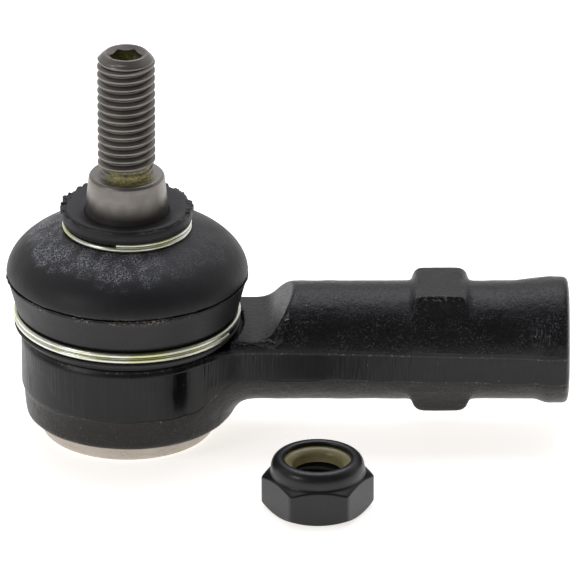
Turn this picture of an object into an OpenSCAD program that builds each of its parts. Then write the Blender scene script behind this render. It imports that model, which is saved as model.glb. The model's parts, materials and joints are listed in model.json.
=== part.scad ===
// Outer tie rod end: a forged socket and shank, a ball stud in sprung plastic seats, a rubber
// dust boot held by two wire rings, and the stud's loose locking nut.
// The origin is the centre of the mouth of the shank's threaded bore. +X leaves the part along
// the bore, and +Z is the stud's way up. Millimetres.

/* [Layout] */
// Distance from the ball's centre to the mouth of the shank
centre_distance = 77; // [72:1:100]
// Where the loose nut lies, measured from the ball's centre along the shank
nut_x = 33; // [26:0.5:60]
// Where the loose nut lies, measured from the ball's centre across the shank
nut_y = -32.5; // [-60:0.5:-32]

/* [Socket] */
// Outside diameter of the socket
socket_d = 37; // [36:0.5:40]
// Outside diameter at the socket's lower edge, below its draft
socket_low_d = 35.5; // [34:0.5:36]
// Height of the ball's centre above the socket's lower edge
socket_drop = 13; // [12.5:0.5:14]
// Height where the draft of the lower die ends, below the ball's centre
draft_drop = 7.2; // [6:0.2:9]
// Diameter of the machined bore that holds the seats
socket_bore_d = 28; // [27:0.5:28]
// Outside diameter of the rolled lip that closes the socket
crimp_d = 30.3; // [30:0.1:31]
// How far the rolled lip stands below the socket's lower edge
crimp_h = 3.3; // [3:0.1:4]
// Diameter of the groove that the boot's bead sits in
groove_d = 32.8; // [32:0.2:33.4]

/* [Shank] */
// Outside diameter of the shank
shank_d = 20.6; // [20:0.2:22]
// Distance across the trimmed flash lands on the shank's sides
flash_width = 19.8; // [19:0.1:20]
// Height of the flat beside the boot, above the ball's centre
neck_flat_z = 3.7; // [3:0.1:4.5]
// Diameter to which the turning of the boot's groove cuts into that flat
relief_d = 40.4; // [40.2:0.2:44]
// Distance across the spanner flats
spanner_af = 21.5; // [21:0.1:22]
// Width of each spanner flat across the shank
spanner_width = 12.4; // [10:0.2:13]
// Diameter of the swollen rim at the shank's mouth
rim_d = 22.2; // [21:0.1:22.4]
// Minor diameter of the M14 x 1.5 female thread
rod_bore_d = 12.4; // [12:0.1:13]
// Depth of the female thread
rod_bore_depth = 42; // [30:1:44]

/* [Ball stud] */
// Diameter of the ball
ball_d = 22; // [22:0.1:22.4]
// Diameter of the neck above the ball
neck_d = 12; // [11:0.2:12.2]
// Diameter of the taper at its top
taper_top_d = 13.1; // [12.6:0.1:13.4]
// Gain in radius of the taper for each millimetre down
taper_slope = 0.114; // [0.1:0.002:0.12]
// Height of the taper's top face above the ball's centre
shoulder_z = 31.8; // [30:0.1:34]
// Outside diameter of the stud's M10 x 1.5 thread
stud_thread_d = 10; // [9.8:0.1:10]
// Height of the stud's end above the ball's centre
stud_top_z = 54.6; // [50:0.1:60]
// Width across the flats of the key socket in the stud's end
key_af = 5; // [4:0.5:5]
// Depth of the key socket
key_depth = 6; // [4:0.5:8]

/* [Boot] */
// Diameter of the boot at its mould line
boot_d = 42; // [41:0.2:43]
// Height of the mould line above the ball's centre
boot_line_z = 13.1; // [12:0.1:14]
// Height of the dome from the mould line to its crown, were it closed
dome_h = 10.1; // [9.8:0.1:10.6]
// Thickness of the rubber
rubber_t = 1.8; // [1.2:0.1:2]
// Diameter of the collar round the stud
collar_d = 22.8; // [22:0.2:24]
// Height of the collar's top face above the ball's centre
collar_z = 25.8; // [25:0.1:26]

/* [Rings] */
// Diameter of the upper ring's wire
upper_wire_d = 1.0; // [0.8:0.1:1.1]
// Diameter of the lower ring's wire, which goes round twice
lower_wire_d = 0.95; // [0.8:0.05:1]

/* [Nut] */
// Distance across the nut's flats
nut_af = 17; // [16:0.5:18]
// Height of the hexagon
nut_hex_h = 6.6; // [6:0.1:7]
// Height of the nut with its collar
nut_h = 9.5; // [9:0.1:10]
// Diameter of the collar that holds the insert
nut_collar_d = 16.3; // [15.6:0.1:16.4]

/* [Hidden] */
$fn = 96;
eps = 0.01;

// Running clearance of the ball in its seats, and of the lower seat in the bore
ball_gap = 0.03;
seat_gap = 0.05;

// Heights inside the socket, from the ball's centre
seat_top_z = 5;
seat_split_z = 0.2;
lower_seat_z = -10.2;
cap_top_z = -12.6;
cap_t = 2;
crimp_bottom_z = -socket_drop - crimp_h;
mouth_top_z = 8;
mouth_low_r = 10.2;
mouth_top_r = 11.5;
crimp_mouth_r = 12;

// The boot's bead and the groove that it sits in
bead_low_z = 2.5;
bead_top_z = 7;
groove_r = groove_d / 2;
land_r = groove_r + 0.65;
boot_gap = 0.05;

// Where each ring's wire lies
upper_ring_r = 10.55;
upper_ring_z = 22.15;
lower_ring_r = 19.28;
lower_ring_z = 5.65;

// The ramp from the flat beside the boot to the full shank
ramp_foot_x = 24.7;
ramp_top_x = 28.9;

// The spanner pads and the swollen rim, from the ball's centre along the shank
pad_x = 54.6;
pad_top_l = 6.7;
pad_foot_l = 9.8;
rim_start_x = centre_distance - 8;
rim_full_x = centre_distance - 2.6;
rim_end_r = 10.2;

stud_max_z = 21;
stud_max_r = taper_r(stud_max_z);
thread_low_z = shoulder_z + 1.5;
tip_r = 3.7;
tip_chamfer = 1.3;

insert_r = 6.3;
insert_bore_r = 4.25;
insert_low_z = 6.25;
insert_top_z = 8.6;
nut_bore_r = 4.19;
nut_lip_r = 5.8;

// Radius of the stud's taper at a height above the ball's centre
function taper_r(z) = taper_top_d / 2 + (shoulder_z - z) * taper_slope;

// Points of an elliptical dome from angle a to angle b, measured up from its rim
function dome(r, h, a, b, steps) = [
    for (i = [0:steps]) let (t = a + (b - a) * i / steps) [r * cos(t), boot_line_z + h * sin(t)]
];

// Moves a piece drawn about the ball's centre to its place behind the shank's mouth
module at_ball() {
    translate([-centre_distance, 0, 0]) children();
}

// A solid cylinder along the shank, with a radius at each end
module along_shank(x0, x1, r0, r1) {
    translate([x0, 0, 0]) rotate([0, 90, 0]) cylinder(h = x1 - x0, r1 = r0, r2 = r1);
}

// The turned outside of the socket, with the boot's groove above and the rolled lip below
module socket_body() {
    rotate_extrude() polygon([
        [0, crimp_bottom_z],
        [crimp_d / 2 - 0.5, crimp_bottom_z],
        [crimp_d / 2, crimp_bottom_z + 0.5],
        [crimp_d / 2, -socket_drop],
        [socket_low_d / 2 - 0.4, -socket_drop],
        [socket_low_d / 2, -socket_drop + 0.4],
        [socket_d / 2, -draft_drop],
        [socket_d / 2, bead_low_z - 0.4],
        [socket_d / 2 - 0.4, bead_low_z],
        [groove_r, bead_low_z],
        [groove_r, bead_top_z],
        [land_r, bead_top_z],
        [land_r, mouth_top_z - 0.4],
        [land_r - 0.4, mouth_top_z],
        [0, mouth_top_z]
    ]);
}

// The round shank, flattened where the flash was trimmed, cut down beside the boot, and turned
// away where the boot's bead and lower ring pass over it
module shank_body() {
    difference() {
        intersection() {
            along_shank(0, rim_start_x, shank_d / 2, shank_d / 2);
            translate([0, -flash_width / 2, -shank_d])
                cube([centre_distance, flash_width, 2 * shank_d]);
        }
        translate([0, shank_d, 0]) rotate([90, 0, 0]) linear_extrude(2 * shank_d) polygon([
            [-eps, neck_flat_z],
            [ramp_foot_x, neck_flat_z],
            [ramp_top_x, shank_d / 2 + eps],
            [ramp_top_x, shank_d],
            [-eps, shank_d]
        ]);
        translate([0, 0, bead_low_z]) cylinder(h = shank_d, r = relief_d / 2);
    }
}

// The rim at the shank's mouth, swollen and then rounded off
module shank_rim() {
    along_shank(rim_start_x, rim_full_x, shank_d / 2, rim_d / 2);
    along_shank(rim_full_x, centre_distance - 1.2, rim_d / 2, rim_d / 2);
    along_shank(centre_distance - 1.2, centre_distance, rim_d / 2, rim_end_r);
}

// The raised pads above and below the shank that a spanner grips
module spanner_pads() {
    for (side = [0, 180])
        rotate([side, 0, 0]) translate([pad_x, spanner_width / 2, 0]) rotate([90, 0, 0])
            linear_extrude(spanner_width) polygon([
                [-pad_foot_l / 2, 7.5],
                [pad_foot_l / 2, 7.5],
                [pad_foot_l / 2, 9.6],
                [pad_top_l / 2, spanner_af / 2],
                [-pad_top_l / 2, spanner_af / 2],
                [-pad_foot_l / 2, 9.6]
            ]);
}

// Everything machined out of the socket: seat bore, stud mouth and the lip's opening
module socket_cavity() {
    translate([0, 0, cap_top_z - cap_t])
        cylinder(h = seat_top_z - cap_top_z + cap_t, r = socket_bore_d / 2);
    translate([0, 0, crimp_bottom_z - 1])
        cylinder(h = cap_top_z - cap_t - crimp_bottom_z + 1 + eps, r = crimp_mouth_r);
    translate([0, 0, seat_top_z - eps])
        cylinder(h = mouth_top_z - seat_top_z + 2 * eps, r1 = mouth_low_r, r2 = mouth_top_r);
}

module housing() {
    color("#1c1c1f") at_ball() difference() {
        union() {
            socket_body();
            shank_body();
            shank_rim();
            spanner_pads();
        }
        socket_cavity();
        along_shank(centre_distance - rod_bore_depth, centre_distance + 1, rod_bore_d / 2, rod_bore_d / 2);
        along_shank(centre_distance - rod_bore_depth - 3, centre_distance - rod_bore_depth + eps,
            0.5, rod_bore_d / 2);
    }
}

// The fixed plastic seat above the ball
module upper_ball_seat() {
    color("#e8e4d8") at_ball() difference() {
        translate([0, 0, seat_split_z])
            cylinder(h = seat_top_z - seat_split_z, r = socket_bore_d / 2);
        sphere(r = ball_d / 2 + ball_gap);
    }
}

// The plastic seat below the ball, which the spring presses up
module lower_ball_seat() {
    color("#e8e4d8") at_ball() difference() {
        translate([0, 0, lower_seat_z])
            cylinder(h = -0.2 - lower_seat_z, r = socket_bore_d / 2 - seat_gap);
        sphere(r = ball_d / 2 + ball_gap);
        translate([0, 0, lower_seat_z - 1]) cylinder(h = 3, r = 4.6);
    }
}

// The conical disc spring between the lower seat and the end cap
module disc_spring() {
    color("#6f7276") at_ball() rotate_extrude() polygon([
        [6.2, lower_seat_z],
        [7.0, lower_seat_z],
        [13.3, cap_top_z + 0.95],
        [13.3, cap_top_z],
        [12.5, cap_top_z],
        [6.2, lower_seat_z - 0.95]
    ]);
}

// The pressed steel plate that closes the socket, dished outwards
module end_cap() {
    color("#b9b5ab") at_ball() rotate_extrude() polygon([
        [0, cap_top_z - 0.9],
        [6.5, cap_top_z - 0.9],
        [9.5, cap_top_z],
        [socket_bore_d / 2 - 0.02, cap_top_z],
        [socket_bore_d / 2 - 0.02, cap_top_z - cap_t],
        [10.5, cap_top_z - cap_t],
        [7.5, cap_top_z - cap_t - 0.9],
        [0, cap_top_z - cap_t - 0.9]
    ]);
}

// The ball, neck, taper and threaded end, forged and turned in one piece
module ball_stud() {
    color("#7d7a76") at_ball() difference() {
        union() {
            sphere(r = ball_d / 2);
            rotate_extrude() polygon([
                [0, 0],
                [neck_d / 2, 0],
                [neck_d / 2, 12.5],
                [neck_d / 2 + 0.5, 14.5],
                [stud_max_r - 0.5, 18.5],
                [stud_max_r, stud_max_z - 1],
                [stud_max_r, stud_max_z],
                [taper_r(shoulder_z - 0.4), shoulder_z - 0.4],
                [taper_top_d / 2 - 0.4, shoulder_z],
                [stud_thread_d / 2 - 0.9, shoulder_z],
                [stud_thread_d / 2 - 0.9, thread_low_z],
                [stud_thread_d / 2, thread_low_z],
                [stud_thread_d / 2, stud_top_z - tip_chamfer],
                [tip_r, stud_top_z],
                [0, stud_top_z]
            ]);
        }
        translate([0, 0, stud_top_z - key_depth])
            cylinder(h = key_depth + 1, r = key_af / sqrt(3), $fn = 6);
        translate([0, 0, stud_top_z - 0.45]) cylinder(h = 0.46, r1 = key_af / 2, r2 = 3.15);
    }
}

// The rubber boot: a bead in the socket's groove, a band, a dome and a collar round the stud
module dust_boot() {
    inner_r = boot_d / 2 - rubber_t;
    inner_h = dome_h - rubber_t - 0.1;
    collar_r = collar_d / 2;
    ring_floor_r = upper_ring_r - upper_wire_d / 2 - boot_gap;
    ring_low_z = upper_ring_z - upper_wire_d / 2 - 2 * boot_gap;
    ring_top_z = upper_ring_z + upper_wire_d / 2 + boot_gap;
    lower_floor_r = lower_ring_r - lower_wire_d / 2 - boot_gap;
    outer_crown = acos(11.15 / (boot_d / 2));
    inner_crown = acos(10 / inner_r);
    stud_gap = 0.12;
    color("#232326") at_ball() rotate_extrude() polygon(concat(
        [
            [groove_r + boot_gap, bead_low_z + boot_gap],
            [socket_d / 2 - 0.2, bead_low_z + boot_gap],
            [19.8, lower_ring_z - lower_wire_d - 0.15],
            [lower_floor_r, lower_ring_z - lower_wire_d - boot_gap],
            [lower_floor_r, lower_ring_z + lower_wire_d + boot_gap],
            [19.6, lower_ring_z + lower_wire_d + 0.15],
            [20.0, 9.0],
            [20.6, 11.2]
        ],
        dome(boot_d / 2, dome_h, 0, outer_crown, 16),
        [
            [ring_floor_r, ring_low_z],
            [ring_floor_r, ring_top_z],
            [collar_r - 0.15, ring_top_z],
            [collar_r, ring_top_z + 0.3],
            [collar_r, collar_z - 0.4],
            [collar_r - 0.4, collar_z],
            [taper_r(collar_z) + stud_gap, collar_z],
            [taper_r(stud_max_z) + stud_gap, stud_max_z]
        ],
        [for (i = [16:-1:0]) dome(inner_r, inner_h, 0, inner_crown, 16)[i]],
        [
            [17.7, 8.6],
            [land_r + boot_gap, 7.9],
            [land_r + boot_gap, bead_top_z - boot_gap],
            [groove_r + boot_gap, bead_top_z - boot_gap]
        ]
    ));
}

// The single turn of wire under the boot's collar
module upper_boot_ring() {
    color("#c9c7b4") at_ball() translate([0, 0, upper_ring_z])
        rotate_extrude() translate([upper_ring_r, 0]) circle(d = upper_wire_d, $fn = 32);
}

// The double turn of wire that clamps the boot's bead to the socket
module lower_boot_ring() {
    w = lower_wire_d;
    color("#c9c7b4") at_ball() translate([0, 0, lower_ring_z]) rotate_extrude() polygon([
        [lower_ring_r - w / 2, -w + 0.2],
        [lower_ring_r - w / 2 + 0.2, -w],
        [lower_ring_r + w / 2 - 0.2, -w],
        [lower_ring_r + w / 2, -w + 0.2],
        [lower_ring_r + w / 2, w - 0.2],
        [lower_ring_r + w / 2 - 0.2, w],
        [lower_ring_r - w / 2 + 0.2, w],
        [lower_ring_r - w / 2, w - 0.2]
    ]);
}

// Puts a piece of the nut, drawn on its bottom face, where the nut lies level with the socket
module at_nut() {
    at_ball() translate([nut_x, nut_y, crimp_bottom_z]) children();
}

// The steel locking nut: a chamfered hexagon under a round collar
module lock_nut() {
    corner_r = nut_af / sqrt(3);
    collar_r = nut_collar_d / 2;
    color("#2a2a2d") at_nut() difference() {
        union() {
            intersection() {
                cylinder(h = nut_hex_h, r = corner_r, $fn = 6);
                rotate_extrude() polygon([
                    [0, 0],
                    [nut_af / 2 - 0.3, 0],
                    [corner_r + 0.1, 0.95],
                    [corner_r + 0.1, nut_hex_h - 1.1],
                    [nut_af / 2 - 0.6, nut_hex_h],
                    [0, nut_hex_h]
                ]);
            }
            rotate_extrude() polygon([
                [0, nut_hex_h - 1],
                [collar_r, nut_hex_h - 1],
                [collar_r, nut_h - 1.3],
                [collar_r - 0.4, nut_h - 0.45],
                [collar_r - 1.1, nut_h],
                [nut_lip_r + 0.5, nut_h],
                [nut_lip_r, nut_h - 0.3],
                [0, nut_h - 0.3]
            ]);
        }
        translate([0, 0, -1]) cylinder(h = nut_h + 2, r = nut_bore_r);
        translate([0, 0, insert_low_z]) cylinder(h = insert_top_z - insert_low_z, r = insert_r);
        translate([0, 0, insert_low_z]) cylinder(h = nut_h, r = nut_lip_r);
    }
}

// The plastic ring that grips the thread, held under the nut's rolled lip
module nylon_insert() {
    color("#a39b6c") at_nut() difference() {
        translate([0, 0, insert_low_z]) cylinder(h = insert_top_z - insert_low_z, r = insert_r);
        translate([0, 0, insert_low_z - 1]) cylinder(h = 4, r = insert_bore_r);
        translate([0, 0, insert_top_z - 0.5])
            cylinder(h = 0.51, r1 = insert_bore_r, r2 = insert_bore_r + 0.8);
    }
}

housing();
upper_ball_seat();
lower_ball_seat();
disc_spring();
end_cap();
ball_stud();
dust_boot();
upper_boot_ring();
lower_boot_ring();
lock_nut();
nylon_insert();
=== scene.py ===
import json
import math

import bmesh
import bpy
import numpy as np
import openvdb as vdb
from mathutils import Matrix, Vector


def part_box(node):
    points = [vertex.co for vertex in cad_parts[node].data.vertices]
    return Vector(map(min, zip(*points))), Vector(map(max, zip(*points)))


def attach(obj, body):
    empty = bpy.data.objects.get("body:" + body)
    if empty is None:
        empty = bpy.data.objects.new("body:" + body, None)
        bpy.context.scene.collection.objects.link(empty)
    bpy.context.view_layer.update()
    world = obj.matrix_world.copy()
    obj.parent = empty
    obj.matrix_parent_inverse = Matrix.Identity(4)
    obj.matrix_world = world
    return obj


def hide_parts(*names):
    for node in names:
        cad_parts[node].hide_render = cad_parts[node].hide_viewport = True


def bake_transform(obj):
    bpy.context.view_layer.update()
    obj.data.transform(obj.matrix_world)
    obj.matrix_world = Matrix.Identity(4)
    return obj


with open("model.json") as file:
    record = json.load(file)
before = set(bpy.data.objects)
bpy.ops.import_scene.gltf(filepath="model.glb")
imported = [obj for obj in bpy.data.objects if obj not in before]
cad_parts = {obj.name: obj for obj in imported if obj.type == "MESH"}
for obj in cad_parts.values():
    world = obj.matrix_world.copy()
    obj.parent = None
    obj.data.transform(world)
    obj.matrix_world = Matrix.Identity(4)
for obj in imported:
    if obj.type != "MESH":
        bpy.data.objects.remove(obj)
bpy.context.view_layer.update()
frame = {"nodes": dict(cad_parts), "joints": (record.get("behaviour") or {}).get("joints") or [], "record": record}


# Housing
# The socket and shank are one hot forging in low alloy steel. Its flash is sheared off along the
# sides, the socket is turned, a black coat covers it, and the lip rolled over afterwards is bare.

MM = 0.001
joint_places = {joint["name"]: joint.get("pos_m") for joint in frame["joints"]}
ball = Vector(joint_places["stud_swing"])
mounts = {mount["name"]: mount for mount in frame["record"]["mounts"]}
shank_end = (mounts["rod_thread"]["pos_m"][0] - ball.x) / MM
floor_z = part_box("housing")[0].z
lip_low = (floor_z - ball.z) / MM

# Sizes in millimetres, counted from the ball's centre, that the shapes and the materials share
SOCKET_R = 18.5
SOCKET_LOW = -13
SHANK_R = 10.3
FLAT_Z = 3.95
PARTING_Z = -7.3
PARTING_RISE = 3.9
PARTING_FROM = 11.5
PARTING_TO = 20.5
SINK = 0.9
SINK_FROM = 25
SINK_TO = 75


def linear(code):
    """The scene-linear colour of an sRGB hex code."""
    parts = [int(code[i:i + 2], 16) / 255 for i in (1, 3, 5)]
    return [c / 12.92 if c <= 0.04045 else ((c + 0.055) / 1.055) ** 2.4 for c in parts] + [1.0]


def add(tree, kind, inputs=None, **settings):
    """Adds a node with its settings, and sets or links its inputs."""
    node = tree.nodes.new(kind)
    for name, value in settings.items():
        setattr(node, name, value)
    for key, value in (inputs or {}).items():
        if isinstance(value, bpy.types.NodeSocket):
            tree.links.new(value, node.inputs[key])
        else:
            node.inputs[key].default_value = value
    return node


def maths(tree, operation, a, b=0.0):
    """One arithmetic step on numbers or sockets."""
    return add(tree, "ShaderNodeMath", {0: a, 1: b}, operation=operation).outputs[0]


def step(tree, value, low, high):
    """0 below low and 1 above high with a smooth rise between, or a fall if low is above high."""
    inputs = {"Value": value, "From Min": low, "From Max": high}
    return add(tree, "ShaderNodeMapRange", inputs, interpolation_type="SMOOTHSTEP").outputs[0]


def product(tree, *factors):
    """Factors multiplied together, such as masks that are 1 where they hold."""
    result = factors[0]
    for factor in factors[1:]:
        result = maths(tree, "MULTIPLY", result, factor)
    return result


def largest(tree, a, b):
    return maths(tree, "MAXIMUM", a, b)


def between(tree, value, start, full, fading, end):
    """1 from full to fading, in millimetres, with a smooth fall to 0 at start and at end."""
    rise = step(tree, value, start * MM, full * MM)
    return product(tree, rise, step(tree, value, end * MM, fading * MM))


def mix(tree, factor, a, b):
    """Colour a where the factor is 0 and colour b where it is 1, as hex codes or sockets."""
    colours = [linear(c) if isinstance(c, str) else c for c in (a, b)]
    inputs = {0: factor, 6: colours[0], 7: colours[1]}
    return add(tree, "ShaderNodeMix", inputs, data_type="RGBA").outputs[2]


def blend_values(tree, factor, a, b):
    """a where the factor is 0 and b where it is 1."""
    return add(tree, "ShaderNodeMix", {0: factor, 2: a, 3: b}).outputs[0]


def noise(tree, place, size, detail=3.0, stretch=(1, 1, 1)):
    """Noise whose lumps are size millimetres wide, drawn out along an axis by its stretch."""
    scale = [1 / (size * MM * s) for s in stretch]
    spread = add(tree, "ShaderNodeMapping", {"Vector": place, "Scale": scale})
    inputs = {"Vector": spread.outputs[0], "Scale": 1.0, "Detail": detail}
    return add(tree, "ShaderNodeTexNoise", inputs).outputs[0]


def new_material(name, centre=ball):
    """A material, its tree and shader, and Object coordinates counted from a centre."""
    material = bpy.data.materials.new(name)
    material.use_nodes = True
    tree = material.node_tree
    coordinates = add(tree, "ShaderNodeTexCoord").outputs["Object"]
    place = add(tree, "ShaderNodeMapping", {"Vector": coordinates, "Location": -centre}).outputs[0]
    return material, tree, tree.nodes["Principled BSDF"], place


def axes_and_radius(tree, place):
    """x, y and z of a place, and its distance from the Z axis."""
    split = add(tree, "ShaderNodeSeparateXYZ", {0: place}).outputs
    flat = add(tree, "ShaderNodeCombineXYZ", {0: split[0], 1: split[1]}).outputs[0]
    radius = add(tree, "ShaderNodeVectorMath", {0: flat}, operation="LENGTH").outputs["Value"]
    return split[0], split[1], split[2], radius


def bump(tree, height, depth, below=None):
    """A normal that shows a 0 to 1 height as depth millimetres of relief."""
    inputs = {"Height": height, "Distance": depth * MM, "Strength": 1.0}
    if below:
        inputs["Normal"] = below
    return add(tree, "ShaderNodeBump", inputs).outputs[0]


def off_middle(tree, value, reach):
    """A 0 to 1 value, such as a noise, moved to both sides of 0 and scaled to a reach."""
    return product(tree, maths(tree, "SUBTRACT", value, 0.5), reach)


def set_shader(tree, shader, values):
    for key, value in values.items():
        if isinstance(value, bpy.types.NodeSocket):
            tree.links.new(value, shader.inputs[key])
        else:
            shader.inputs[key].default_value = value


def coated_forging(name, chips_over):
    """Black electrophoretic coat on forged steel: a satin black, pale where it is worn through or
    chipped. The lip was rolled after coating and is turned bare steel."""
    material, tree, shader, place = new_material(name)
    x, y, z, radius = axes_and_radius(tree, place)
    side = maths(tree, "ABSOLUTE", y)

    # The sheared band, and the lines along its edges: worn specks over a faint painted highlight
    wander = off_middle(tree, noise(tree, place, 9, 2), 1.6 * MM)
    rises = product(tree, step(tree, x, PARTING_FROM * MM, PARTING_TO * MM), PARTING_RISE * MM)
    parting = maths(tree, "ADD", rises, PARTING_Z * MM)
    sinks = product(tree, step(tree, x, SINK_FROM * MM, SINK_TO * MM), SINK * MM)
    level = maths(tree, "ADD", z, sinks)
    over_parting = maths(tree, "SUBTRACT", level, maths(tree, "ADD", parting, wander))
    on_socket = step(tree, radius, (SOCKET_R - 0.4) * MM, (SOCKET_R - 0.15) * MM)
    outer = largest(tree, on_socket, step(tree, side, 9.6 * MM, 9.75 * MM))
    above = step(tree, over_parting, 0.0, 0.25 * MM)
    sheared = product(tree, above, step(tree, level, 2.7 * MM, 2.4 * MM), outer)
    near_line = step(tree, maths(tree, "ABSOLUTE", over_parting), 0.16 * MM, 0.04 * MM)
    off_top = maths(tree, "ABSOLUTE", maths(tree, "SUBTRACT", level, 1.95 * MM))
    top_line = product(tree, step(tree, off_top, 0.25 * MM, 0.05 * MM), outer)
    specks = step(tree, noise(tree, place, 0.6, 4), 0.54, 0.66)
    worn = product(tree, specks, 0.5, step(tree, noise(tree, place, 4.5, 2), 0.42, 0.62))
    # The edge lines are pale where worn, with a faint painted highlight all along them
    line = product(tree, largest(tree, near_line, top_line), maths(tree, "ADD", worn, 0.05))

    # The coat over the forged skin, which glints, and over the cut band, which is streaked. The skin's
    # finest grit is drawn about 0.3 mm wide, coarser than it is, so that it shows
    grain = noise(tree, place, 0.9, 5)
    fine = noise(tree, place, 0.35, 3)
    swell = noise(tree, place, 3.2, 2)
    streaks = noise(tree, place, 0.45, 3, stretch=(1, 1, 26))
    asperities = step(tree, noise(tree, place, 0.3, 2), 0.56, 0.68)
    patchy = maths(tree, "ADD", step(tree, noise(tree, place, 4.5, 3), 0.38, 0.6), 0.25)
    glints = product(tree, asperities, patchy, maths(tree, "SUBTRACT", 1.0, sheared))
    underneath = step(tree, over_parting, 0.1 * MM, -0.3 * MM)
    skin = mix(tree, swell, "#0e0e10", "#161618")
    skin = mix(tree, underneath, skin, mix(tree, swell, "#191715", "#24211e"))
    cut = mix(tree, streaks, "#0c0c0d", "#1f1e1f")
    coat = mix(tree, sheared, skin, cut)
    # The asperities are also painted lighter: painted glints over their bumps
    coat = mix(tree, product(tree, glints, 0.35), coat, "#5a5a60")
    coat = mix(tree, line, coat, "#9a968e")

    # Chips, most along the upper pad's edges
    chips = step(tree, noise(tree, place, 0.8, 5), chips_over, chips_over + 0.03)
    pad_edge = between(tree, side, 5.6, 6.1, 6.6, 7.4)
    pad_edge = product(tree, pad_edge, step(tree, z, 10.1 * MM, 10.5 * MM))
    rubbed = product(tree, pad_edge, step(tree, noise(tree, place, 0.6, 4), 0.52, 0.64), 0.3)
    coat = mix(tree, product(tree, largest(tree, chips, rubbed), 0.8), coat, "#a09c94")

    # A wet patch on the front of the socket, with ragged ends, and painted glints near the shank's mouth
    ragged = product(tree, noise(tree, place, 1.4, 3, stretch=(1, 1, 8)), 3.0 * MM)
    wet = between(tree, maths(tree, "ADD", x, ragged), 8.8, 10.2, 15.5, 17.8)
    runs = step(tree, noise(tree, place, 1.1, 3, stretch=(1, 1, 12)), 0.36, 0.5)
    wet = product(tree, wet, sheared, step(tree, y, -8 * MM, -9 * MM), blend_values(tree, runs, 0.45, 1.0))
    coat = mix(tree, product(tree, wet, 0.85), coat, "#060606")
    # Lighter streaks where the shank's mouth flares: a painted glint cluster
    glint_patch = product(tree, between(tree, x, 69.5, 71, 73.5, 75), between(tree, z, 3, 4.2, 6.5, 8))
    glint_streaks = step(tree, noise(tree, place, 0.28, 3, stretch=(1, 2, 5)), 0.52, 0.64)
    coat = mix(tree, product(tree, glint_patch, glint_streaks, 0.32), coat, "#77777c")

    lip = step(tree, z, (SOCKET_LOW - 0.05) * MM, (SOCKET_LOW - 0.2) * MM)
    bare = mix(tree, noise(tree, place, 0.12, 2, stretch=(40, 40, 1)), "#b3aaa0", "#d2cac0")
    forged = maths(tree, "SUBTRACT", 1.0, largest(tree, sheared, lip))
    scored = product(tree, sheared, step(tree, noise(tree, place, 9, 2), 0.4, 0.62))
    relief = bump(tree, product(tree, grain, forged), 0.1)
    relief = bump(tree, product(tree, fine, forged), 0.04, relief)
    relief = bump(tree, glints, 0.06, relief)
    relief = bump(tree, product(tree, streaks, scored), 0.16, relief)
    dry_roughness = blend_values(tree, lip, blend_values(tree, grain, 0.28, 0.46), 0.42)
    set_shader(tree, shader, {
        "Base Color": mix(tree, lip, coat, bare),
        "Metallic": product(tree, lip, 0.75),
        "Roughness": blend_values(tree, wet, dry_roughness, 0.15),
        "Specular IOR Level": 0.3,
        "Normal": relief,
    })
    return material


def ramp(t):
    """0 below 0, 1 above 1 and a smooth rise between."""
    t = np.clip(t, 0, 1)
    return t * t * (3 - 2 * t)


def meet(a, b, round_by):
    """The space inside both shapes, its edge rounded by about round_by."""
    h = np.clip(0.5 + 0.5 * (a - b) / round_by, 0, 1)
    return b + (a - b) * h + round_by * h * (1 - h)


def join(a, b, fillet):
    """The space inside either shape, with a fillet between them."""
    return -meet(-a, -b, fillet)


def lumps(axes, cell, seed):
    """Smooth random values from -1 to 1 over a grid, in lumps about cell wide."""
    field = np.random.default_rng(seed).uniform(-1, 1, [int((a[-1] - a[0]) / cell) + 3 for a in axes])
    for axis, places in enumerate(axes):
        t = (places - places[0]) / cell
        shape = [-1 if k == axis else 1 for k in range(3)]
        share = ramp(t % 1).reshape(shape)
        low = t.astype(int)
        field = np.take(field, low, axis) * (1 - share) + np.take(field, low + 1, axis) * share
    return field


def skin(rings, ring=False):
    """Quads between rows of equally many points, and from the last row to the first for a ring."""
    steps = len(rings[0])
    here = np.arange(steps)
    after = (here + 1) % steps
    faces = []
    for i in range(len(rings) if ring else len(rings) - 1):
        a, b = i * steps, (i + 1) % len(rings) * steps
        faces += np.stack([a + here, a + after, b + after, b + here], axis=1).tolist()
    return np.concatenate(rings), faces


def tidy(obj, sharp=40, soften=0):
    """Evens out and welds a mesh, turns its faces outwards and shades all but sharp edges smooth."""
    work = bmesh.new()
    work.from_mesh(obj.data)
    for _ in range(soften):
        bmesh.ops.smooth_vert(
            work, verts=work.verts, factor=0.5, use_axis_x=True, use_axis_y=True, use_axis_z=True)
    bmesh.ops.remove_doubles(work, verts=work.verts, dist=0.0005 * MM)
    bmesh.ops.recalc_face_normals(work, faces=work.faces)
    work.to_mesh(obj.data)
    work.free()
    obj.data.shade_smooth()
    obj.data.set_sharp_from_angle(angle=math.radians(sharp))


def new_piece(name, shapes, material, centre=ball):
    """An object made of (points, faces) shapes in millimetres about a centre."""
    points, faces, start = [], [], 0
    for shape_points, shape_faces in shapes:
        points.append(np.asarray(shape_points) * MM + np.array(centre))
        faces += [[i + start for i in face] for face in shape_faces]
        start += len(shape_points)
    mesh = bpy.data.meshes.new(name)
    if points:
        mesh.from_pydata(np.concatenate(points).tolist(), [], faces)
    obj = bpy.data.objects.new(name, mesh)
    mesh.materials.append(material)
    bpy.context.scene.collection.objects.link(obj)
    return obj


def full_turn(steps):
    return np.arange(steps) * 2 * math.pi / steps


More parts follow.
